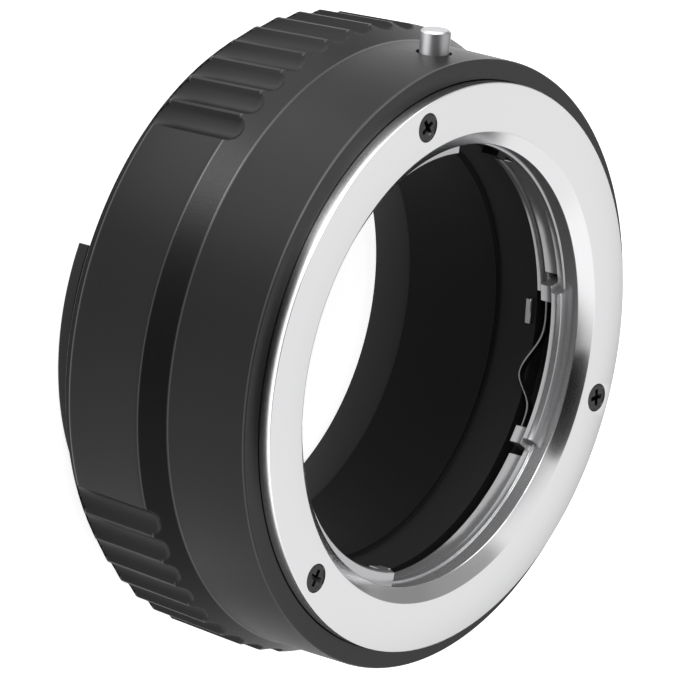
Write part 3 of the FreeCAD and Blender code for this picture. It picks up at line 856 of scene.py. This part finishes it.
@dataclass
class LensMount(Assembly):
    """The chromed lens bayonet ring with its lugs, skirt, blocks and leaf springs.

    Attributes:
        cone: Radius and height of the cone's upper and lower end.
        flange_radius: Outer radius of the flange.
        skirt: Outer radius of the skirt.
        lug: Inner radius, bottom and top of a lug.
        drops: Heights of the lower edge of the skirt, of its deep part and of the blocks.
        block: Angle that each spring block covers and how far it passes the lug's end.
        notch: Angle cleared beyond each end of a lug.
        ledge: Radius of the skirt and the height at which it stands inside the throat.
        spring: Inner and outer radius and half the thickness of a leaf spring.
        bow: Level of a leaf's ends, its sag, and the share of its span at which it is lowest.
    """

    cone: tuple = ((24.47, LENS_FACE), (23.0, 24.36))
    flange_radius: float = 29.5
    skirt: float = 24.6
    lug: tuple = (21.65, 21.95, 23.05)
    drops: tuple = (20.4, 19.3, 20.6)
    block: tuple = (5.0, 1.8)
    notch: float = 4.0
    ledge: tuple = (22.8, 22.75)
    spring: tuple = (21.95, 22.85, 0.11)
    bow: tuple = (21.05, 2.25, 0.6)

    def flange(self) -> Piece:
        """The flange with its cone and the short throat under it.

        Returns:
            The object with its screw seats cut.
        """
        bottom = self.lug[1]
        wide, (mouth, foot) = self.flange_radius, self.cone
        outline = soften([mouth, (wide, LENS_FACE), (wide, RING_SEAT), (self.skirt, RING_SEAT),
                          (self.skirt, bottom), (self.ledge[0], bottom), self.ledge,
                          (foot[0], self.ledge[1]), foot][::-1], 0.09, 3)
        ring = Surface("lens_ring").sweep(outline, 0.0, 360.0, 1.0).build(40.0)
        return carve(ring, ScrewSet(self.paints).seats(), 40.0)

    def sector(self, surface: Surface, profile: list, span: tuple) -> None:
        """Add a sector with eased edges, whose end faces are drawn in by the ease.

        Args:
            surface: Surface to add to.
            profile: Closed (radius, z) outline, counter-clockwise.
            span: First and last clock angle.
        """
        ease = 0.07
        outline = soften(profile, ease, 2)
        start, end = span
        turn = math.degrees(ease / outline[:, 0].max())
        count = max(2, int(round(end - start)))
        stations = np.concatenate([[start], np.linspace(start + turn, end - turn, count), [end]])
        shape = np.repeat(outline[None], len(stations), 0)
        shape[[0, -1]] -= np.sign(outline - outline.mean(0)) * ease
        surface.grid(polar(shape[..., 0], stations[:, None], shape[..., 1]), False)

    def build(self) -> None:
        """Make the ring, its lugs and springs."""
        ring = self.flange()
        self.dress(ring, CHROME, ["lens_mount_ring"])
        self.repaint(ring, (0.0, self.skirt), (0.0, self.cone[1][1] + 0.02), THROAT_CHROME)
        lower = Surface("lens_bayonet")
        inner, low, high = self.lug
        wall, outer = self.ledge[0], self.skirt
        upper, deepest, under = self.drops
        top = low + 0.05
        for span in LUGS:
            self.sector(lower, [(inner, low), (23.4, low), (23.4, high), (inner + 0.17, high),
                                (inner, high - 0.5)], span)
        width, over = self.block
        for start, end in LUGS:
            for side in (start - over, end + over - width):
                self.sector(lower, [(inner, under), (outer, under), (outer, top), (inner, top)],
                            (side, side + width))
        first, second, third = LUGS
        gap = self.notch
        for span in ((third[1] - 360.0 + gap, TOOTH_SLOT[0]), (DEEP_SKIRT[0], first[0] - gap),
                     (first[1] + gap, second[0] - gap), (second[1] + gap, third[0] - gap)):
            self.sector(lower, [(wall, upper), (outer, upper), (outer, top), (wall, top)], span)
        self.sector(lower, [(wall, deepest), (outer, deepest), (outer, upper + 0.1),
                            (23.6, upper + 0.1), (23.6, upper - 0.4), (wall, upper - 0.4)],
                    DEEP_SKIRT)
        self.dress(lower.build(40.0), THROAT_CHROME)
        for number, (start, end) in enumerate(LUGS, start=1):
            self.leaf(number, start - over + width, end + over - width)

    def leaf(self, number: int, start: float, end: float) -> None:
        """One bowed leaf spring.

        Its height at the share s of its span is the level of its ends less the sag times
        sin(pi p / 2) to the fifth power, where p runs from 0 at either end to 1 at the lowest
        share.

        Args:
            number: Number in the node's name.
            start: First clock angle.
            end: Last clock angle.
        """
        level, sag, lowest = self.bow
        share = np.linspace(0.0, 1.0, 61)
        p = np.where(share < lowest, share / lowest, (1.0 - share) / (1.0 - lowest))
        z = level - sag * np.sin(np.pi / 2 * p) ** 5
        clock = start + share * (end - start)
        inner, outer, half = self.spring
        outline = soften([(inner, -half), (outer, -half), (outer, half), (inner, half)], 0.04, 1)
        grid = polar(outline[None, :, 0], clock[:, None], z[:, None] + outline[None, :, 1])
        leaf = Surface("leaf_%d" % number).grid(grid, False).build(40.0)
        self.dress(leaf, SPRING, ["leaf_spring_%d" % number])


@dataclass
class CameraMount(Assembly):
    """The black camera bayonet ring."""

    def build(self) -> None:
        """Make the ring, its lugs and its screws."""
        outline = soften([(22.5, -1.8), (24.3, -1.8), (24.3, 0.0), (30.3, 0.0), (30.5, 0.2),
                          (30.5, BARREL_REAR), (27.5, BARREL_REAR), (27.5, SPIGOT_TOP),
                          (22.5, SPIGOT_TOP)], 0.08, 2)
        ring = Surface("camera_ring").sweep(outline, 0.0, 360.0, 1.25).build(40.0)
        tool = ScrewSet(self.paints, REAR_SCREWS, face=0.0, sink=0.01, flip=True, head=1.3,
                        depth=0.6, length=5.0)
        seats = tool.seats()
        hole = lathe_points([(AXIS, -1.0), (1.2, -1.0), (1.2, 2.4), (AXIS, 2.4)], 40)
        seats.append(Surface("lock_hole").grid(place(hole, 27.4, 75.0), True).build())
        carve(ring, seats, 40.0)
        self.dress(ring, BLACK_RING, ["camera_mount_ring"])
        lugs = Surface("camera_bayonet")
        lug = soften([(22.9, -4.8), (25.9, -4.8), (26.2, -4.5), (26.2, -3.3), (24.3, -3.3),
                      (24.3, -1.75), (22.9, -1.75)], 0.08, 2)
        for start, end in BAYONETS:
            lugs.sweep(lug, start, end, 1.25)
        self.dress(lugs.build(35.0), BLACK_RING)
        tool.build("camera_screws", BLACK_SCREW, ["camera_ring_screws"])


@dataclass
class ReleaseWorks(Assembly):
    """The release pin, the lock lever, their springs and the stop-down tab."""

    def pin(self) -> None:
        """Make the push pin with its collar and spigot."""
        outline = soften([(AXIS, 27.1), (0.65, 27.1), (0.65, 28.4), (2.3, 28.4), (2.3, 29.0),
                          (1.55, 29.0), (1.55, 33.8), (1.3, 34.05), (AXIS, 34.05)], 0.07, 3)
        pin = Surface("release_button").grid(pin_points(outline, 64), True).build(40.0)
        self.dress(pin, STEEL, ["release_pin"], body="release_pin")

    def tab(self) -> None:
        """Make the small steel tab in the bore wall."""
        base = LENS_FACE - 7.15
        points, faces = eased_box((-1.4, 22.5, base - 0.35), (1.4, 24.1, base + 0.35), 0.1)
        tab = Surface("tab").add(place(points, 0.0, 87.1), faces).build(40.0)
        self.dress(tab, STEEL, ["stop_down_tab"])

    def coil(self, name: str, wind: tuple, line: tuple, press: tuple) -> None:
        """A compression spring.

        The wire's centre at the turning angle t stands at the winding's radius from the line
        start + out s, with s rising evenly with t from half the wire's thickness to the length
        less as much.

        Args:
            name: Piece name.
            wind: Radius of the winding, thickness of the wire and number of turns.
            line: Centre of the first end, unit direction and free length.
            press: CAD node, then the joint, the share of the length that is kept, and 0 or 1 for
                the end that stays put, which are not used.
        """
        radius, wire, turns = wind
        start, out, length = np.array(line[0]), np.array(line[1]), line[2]
        node, joint, keep, still = press
        t = np.linspace(0.0, 2.0 * np.pi * turns, 24 * turns + 1)[:, None, None]
        round_wire = np.linspace(0.0, 2.0 * np.pi, 12, endpoint=False)[None, :, None]
        up = np.array((0.0, 0.0, 1.0))
        away = up * np.cos(t) + np.cross(out, up) * np.sin(t)
        rise = wire / 2 + (length - wire) * t / t.max()
        points = (start + out * rise + away * (radius + wire / 2 * np.cos(round_wire))
                  + out * (wire / 2 * np.sin(round_wire)))
        thing = Surface(name).grid(points, False).build(50.0)
        self.dress(thing, SPRING, [node])
        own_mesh(thing)

    def build(self) -> None:
        """Make the pin, the tab and the coils, and paint the CAD pieces that stay."""
        self.pin()
        self.tab()
        self.coil("pin_coil", (1.1, 0.3, 4), ((0.0, 25.6, PIN_Z), (0.0, 1.0, 0.0), 2.8),
                  ("release_pin_spring", "release_push", 0.64, 0.0))
        self.coil("lever_coil", (0.38, 0.18, 5),
                  ((9.345, 24.854, LENS_FACE - 3.85), (0.6495, 0.7603, 0.0), 2.489),
                  ("lock_lever_spring", "lock_swing", 0.66, 1.0))
        for name, finish in (("lock_lever", DULL_STEEL), ("lock_lever_pivot", SPRING)):
            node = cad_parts[name]
            node.data.materials.clear()
            node.data.materials.append(self.paints.material(finish))
            LOG.info("%s: painted", name)


def eased_box(low: tuple, high: tuple, ease: float) -> tuple:
    """Box with eased edges: each face is drawn in by the ease and joined to its neighbours.

    Args:
        low: Lowest corner.
        high: Highest corner.
        ease: Size of the eased edge.

    Returns:
        Points and faces.
    """
    points = []
    index = {}
    for corner in np.ndindex(2, 2, 2):
        for axis in range(3):
            inward = np.where(corner, -ease, ease)
            inward[axis] = 0.0
            index[corner, axis] = len(points)
            points.append(np.where(corner, high, low) + inward)
    faces = [[index[corner, axis] for axis in range(3)] for corner in np.ndindex(2, 2, 2)]
    for axis in range(3):
        u, v = [k for k in range(3) if k != axis]
        for side in (0, 1):
            faces.append([index[tuple(np.insert(spot, axis, side)), axis]
                          for spot in ((0, 0), (1, 0), (1, 1), (0, 1))])
        for spot in np.ndindex(2, 2):
            near, far = (tuple(np.insert(spot, axis, end)) for end in (0, 1))
            faces.append([index[near, u], index[near, v], index[far, v], index[far, u]])
    return np.array(points), faces


@dataclass
class Studio:
    """Camera, surroundings, lamps and floor.

    Attributes:
        axis: Optical axis in the camera's right, down and away directions.
        centre: Centre of the lens face in those directions, in millimetres.
        roll: Degrees from the picture's up to the release pin, clockwise round the axis.
        focal: Focal length in pixels of a square picture.
        picture: Side of that picture in pixels.
        ground: Height of the floor.
        sensor: Width of the camera's sensor in millimetres.
        lift: Brightness that the floor adds for the camera.
        gloss: Brightness that the floor adds for reflections.
        room: Brightness of the room outside its patches.
        near: Distances from the axis between which the floor's bright parts fade in.
        group: Node group of one soft patch.
    """

    axis: tuple = (0.7866, 0.2172, -0.578)
    centre: tuple = (11.3752, 2.9235, 657.325)
    roll: float = -8.6
    focal: float = 6500.0
    picture: float = 680.0
    ground: float = -4.8
    sensor: float = 36.0
    lift: float = 0.76
    gloss: float = 0.6
    room: float = 0.5
    near: tuple = (33.0, 45.0)
    group: Tree = field(default_factory=patch_group)

    def axes(self) -> Array:
        """The row's X, Y and Z axes seen by the camera.

        Returns:
            Matrix whose rows are the three axes as right, down and away.
        """
        n = np.array(self.axis) / np.linalg.norm(self.axis)
        up = np.array([0.0, -1.0, 0.0])
        ey = up - n * (up @ n)
        ey /= np.linalg.norm(ey)
        ex = np.cross(ey, n)
        a = math.radians(self.roll)
        return np.array([math.cos(a) * ex - math.sin(a) * ey,
                         math.sin(a) * ex + math.cos(a) * ey, n])

    def direction(self, right: float, up: float, toward: float) -> Array:
        """Unit vector in the row frame of a direction that the camera sees."""
        v = self.axes() @ np.array([right, -up, -toward], float)
        return v / np.linalg.norm(v)

    def camera(self) -> None:
        """Make the camera."""
        rows = self.axes()
        data = bpy.data.cameras.new("camera")
        data.sensor_width = self.sensor
        data.lens = self.focal / self.picture * self.sensor
        data.clip_start = 0.05
        data.clip_end = 20.0
        camera = put("camera", data)
        right, down, away = rows.T
        stand(camera, (right, -down, -away),
              np.array([0.0, 0.0, LENS_FACE]) - rows @ np.array(self.centre))
        bpy.context.scene.camera = camera

    def surroundings(self) -> None:
        """Make a soft white room whose reflections have a few grey and dark areas."""
        world = bpy.data.worlds.new("room")
        bpy.context.scene.world = world
        n = fresh_nodes(world)
        look = n.add("ShaderNodeTexCoord").outputs["Generated"]
        level = self.room
        for right, up, toward, rim, core, tone in PATCHES:
            patch = n.add("ShaderNodeGroup", node_tree=self.group, Direction=look, Rim=rim,
                          Core=core, Centre=self.direction(right, up, toward))
            level = n.add("ShaderNodeMix", patch.outputs["Mask"], None, level, tone,
                          data_type="FLOAT").outputs[0]
        path = n.add("ShaderNodeLightPath")
        seen = n.add("ShaderNodeMix", path.outputs["Is Camera Ray"], None, level, 1.0,
                     data_type="FLOAT")
        back = n.add("ShaderNodeBackground", (1.0, 1.0, 1.0, 1.0), seen.outputs[0])
        n.add("ShaderNodeOutputWorld", back.outputs[0])

    def floor(self) -> None:
        """Make a pale floor under the part, white to the camera where no shadow falls."""
        size = 1500.0
        points = [(-size, -size, self.ground), (size, -size, self.ground),
                  (size, size, self.ground), (-size, size, self.ground)]
        mesh = bpy.data.meshes.new("floor")
        mesh.from_pydata((np.array(points) * MM).tolist(), [], [(0, 1, 2, 3)])
        material = bpy.data.materials.new("floor_white")
        n = fresh_nodes(material)
        flat = n.add("ShaderNodeVectorMath", n.add("ShaderNodeTexCoord").outputs["Object"],
                     (1.0, 1.0, 0.0), operation="MULTIPLY").outputs[0]
        way = n.add("ShaderNodeVectorMath", flat, operation="NORMALIZE").outputs[0]
        reach = n.add("ShaderNodeVectorMath", flat, operation="LENGTH")
        outside = n.add("ShaderNodeMapRange", interpolation_type="SMOOTHSTEP",
                        Value=reach.outputs["Value"], From_Min=self.near[0] * MM,
                        From_Max=self.near[1] * MM)
        mirrored = self.gloss
        for right, up, toward, rim, core, gain in FLOOR_GLOWS:
            centre = self.direction(right, up, toward) * (1.0, 1.0, 0.0)
            patch = n.add("ShaderNodeGroup", node_tree=self.group, Direction=way, Rim=rim,
                          Core=core, Centre=centre / np.linalg.norm(centre))
            shine = n.math("MULTIPLY", patch.outputs["Mask"], outside.outputs[0])
            mirrored = n.math("ADD", mirrored, n.math("MULTIPLY", shine, gain))
        path = n.add("ShaderNodeLightPath").outputs
        seen = n.math("MAXIMUM", path["Is Camera Ray"], path["Is Transmission Ray"])
        bright = n.math("MAXIMUM", n.math("MULTIPLY", seen, self.lift),
                        n.math("MULTIPLY", path["Is Glossy Ray"], mirrored))
        both = n.add("ShaderNodeAddShader",
                     n.add("ShaderNodeBsdfDiffuse", (0.8, 0.8, 0.8, 1.0)).outputs[0],
                     n.add("ShaderNodeEmission", Strength=bright).outputs[0])
        n.add("ShaderNodeOutputMaterial", both.outputs[0])
        mesh.materials.append(material)
        put("floor", mesh)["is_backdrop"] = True

    def lamp(self, name: str, way: tuple, distance: float, size: float, power: float,
             mirrored: bool) -> None:
        """Square soft lamp that faces the part.

        Args:
            name: Object name.
            way: Direction of the lamp as right, up, toward.
            distance: Distance from the part in millimetres.
            size: Side of the lamp in millimetres.
            power: Power in watts.
            mirrored: True if glossy surfaces show it.
        """
        data = bpy.data.lights.new(name, "AREA")
        data.size = size * MM
        data.energy = power
        lamp = put(name, data)
        lamp.visible_glossy = mirrored
        back = self.direction(*way)
        side = np.cross(LAMP_GUIDE, back)
        side /= np.linalg.norm(side)
        stand(lamp, (side, np.cross(back, side), back),
              back * distance + (0.0, 0.0, LENS_FACE / 2))

    def build(self) -> None:
        """Make the whole studio."""
        self.camera()
        self.surroundings()
        self.floor()
        for settings in LAMPS:
            self.lamp(*settings)


# Areas of the room as right, up, toward, cosine of the rim, cosine of the core and brightness
PATCHES = (
    (-0.5, 0.74, 0.45, 0.6, 0.95, 3.0),
    (0.24, 0.95, 0.2, 0.86, 0.98, 5.0),
    (-1.0, -0.15, 0.1, 0.55, 0.9, 0.24),
    (-0.55, -0.7, -0.45, 0.7, 0.95, 0.9),
    (0.9, 0.0, 0.1, 0.6, 0.85, 0.95),
    (0.45, -0.75, 0.2, 0.75, 0.93, 1.15),
    (0.3, -0.88, -0.35, 0.8, 0.94, 1.0),
    (0.3, -0.1, -0.95, 0.75, 0.9, 0.03),
    (0.0, -0.35, 0.93, 0.86, 0.97, 0.05),
    (0.54, -0.13, 0.83, 0.95, 0.965, 0.0),
    (-0.4, 0.0, 0.95, 0.8, 0.95, 0.05),
    (0.8, 0.5, -0.33, 0.87, 0.95, 0.3),
    (0.83, 0.55, 0.05, 0.93, 0.98, 0.35),
)

# Parts of the floor, outside the part, that reflections show brighter or darker, with the
# gain last
FLOOR_GLOWS = (
    (-0.65, 0.74, 0.16, 0.84, 0.99, 1.7),
    (-0.93, -0.3, 0.0, 0.75, 0.97, 0.4),
    (-0.37, -0.81, -0.45, 0.86, 0.97, -0.4),
)

# Direction that a lamp's side is square to
LAMP_GUIDE = (0.31, 0.17, 0.93)

# Lamps as name, direction, distance, side, power and whether glossy surfaces show it
LAMPS = (
    ("top_lamp", (-0.15, 0.72, 0.7), 420.0, 170.0, 1.1, True),
    ("front_lamp", (0.1, 0.15, 0.98), 480.0, 200.0, 0.8, False),
)


def log_bounds(where: str, sizes: dict) -> None:
    """Keep the shown object's bounds.

    Args:
        where: Name of the moment.
        sizes: Dict to add to.
    """
    low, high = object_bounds()
    sizes[where] = [[float(v) for v in low], [float(v) for v in high]]
    LOG.info("bounds %s: %s", where, sizes[where])


def main() -> None:
    """Build the looks and the studio, and log the bounds before and after."""
    logging.basicConfig(level=logging.INFO, format="%(name)s %(message)s")
    sizes = {}
    log_bounds("cad", sizes)
    paints = Paints()
    Barrel(paints).build()
    LensMount(paints).build()
    ScrewSet(paints).build("ring_screws", PLATED, ["lens_ring_screws"])
    CameraMount(paints).build()
    ReleaseWorks(paints).build()
    Studio().build()
    log_bounds("shown", sizes)
    bpy.context.scene.view_settings.view_transform = "Standard"


if __name__ == "__main__":
    main()
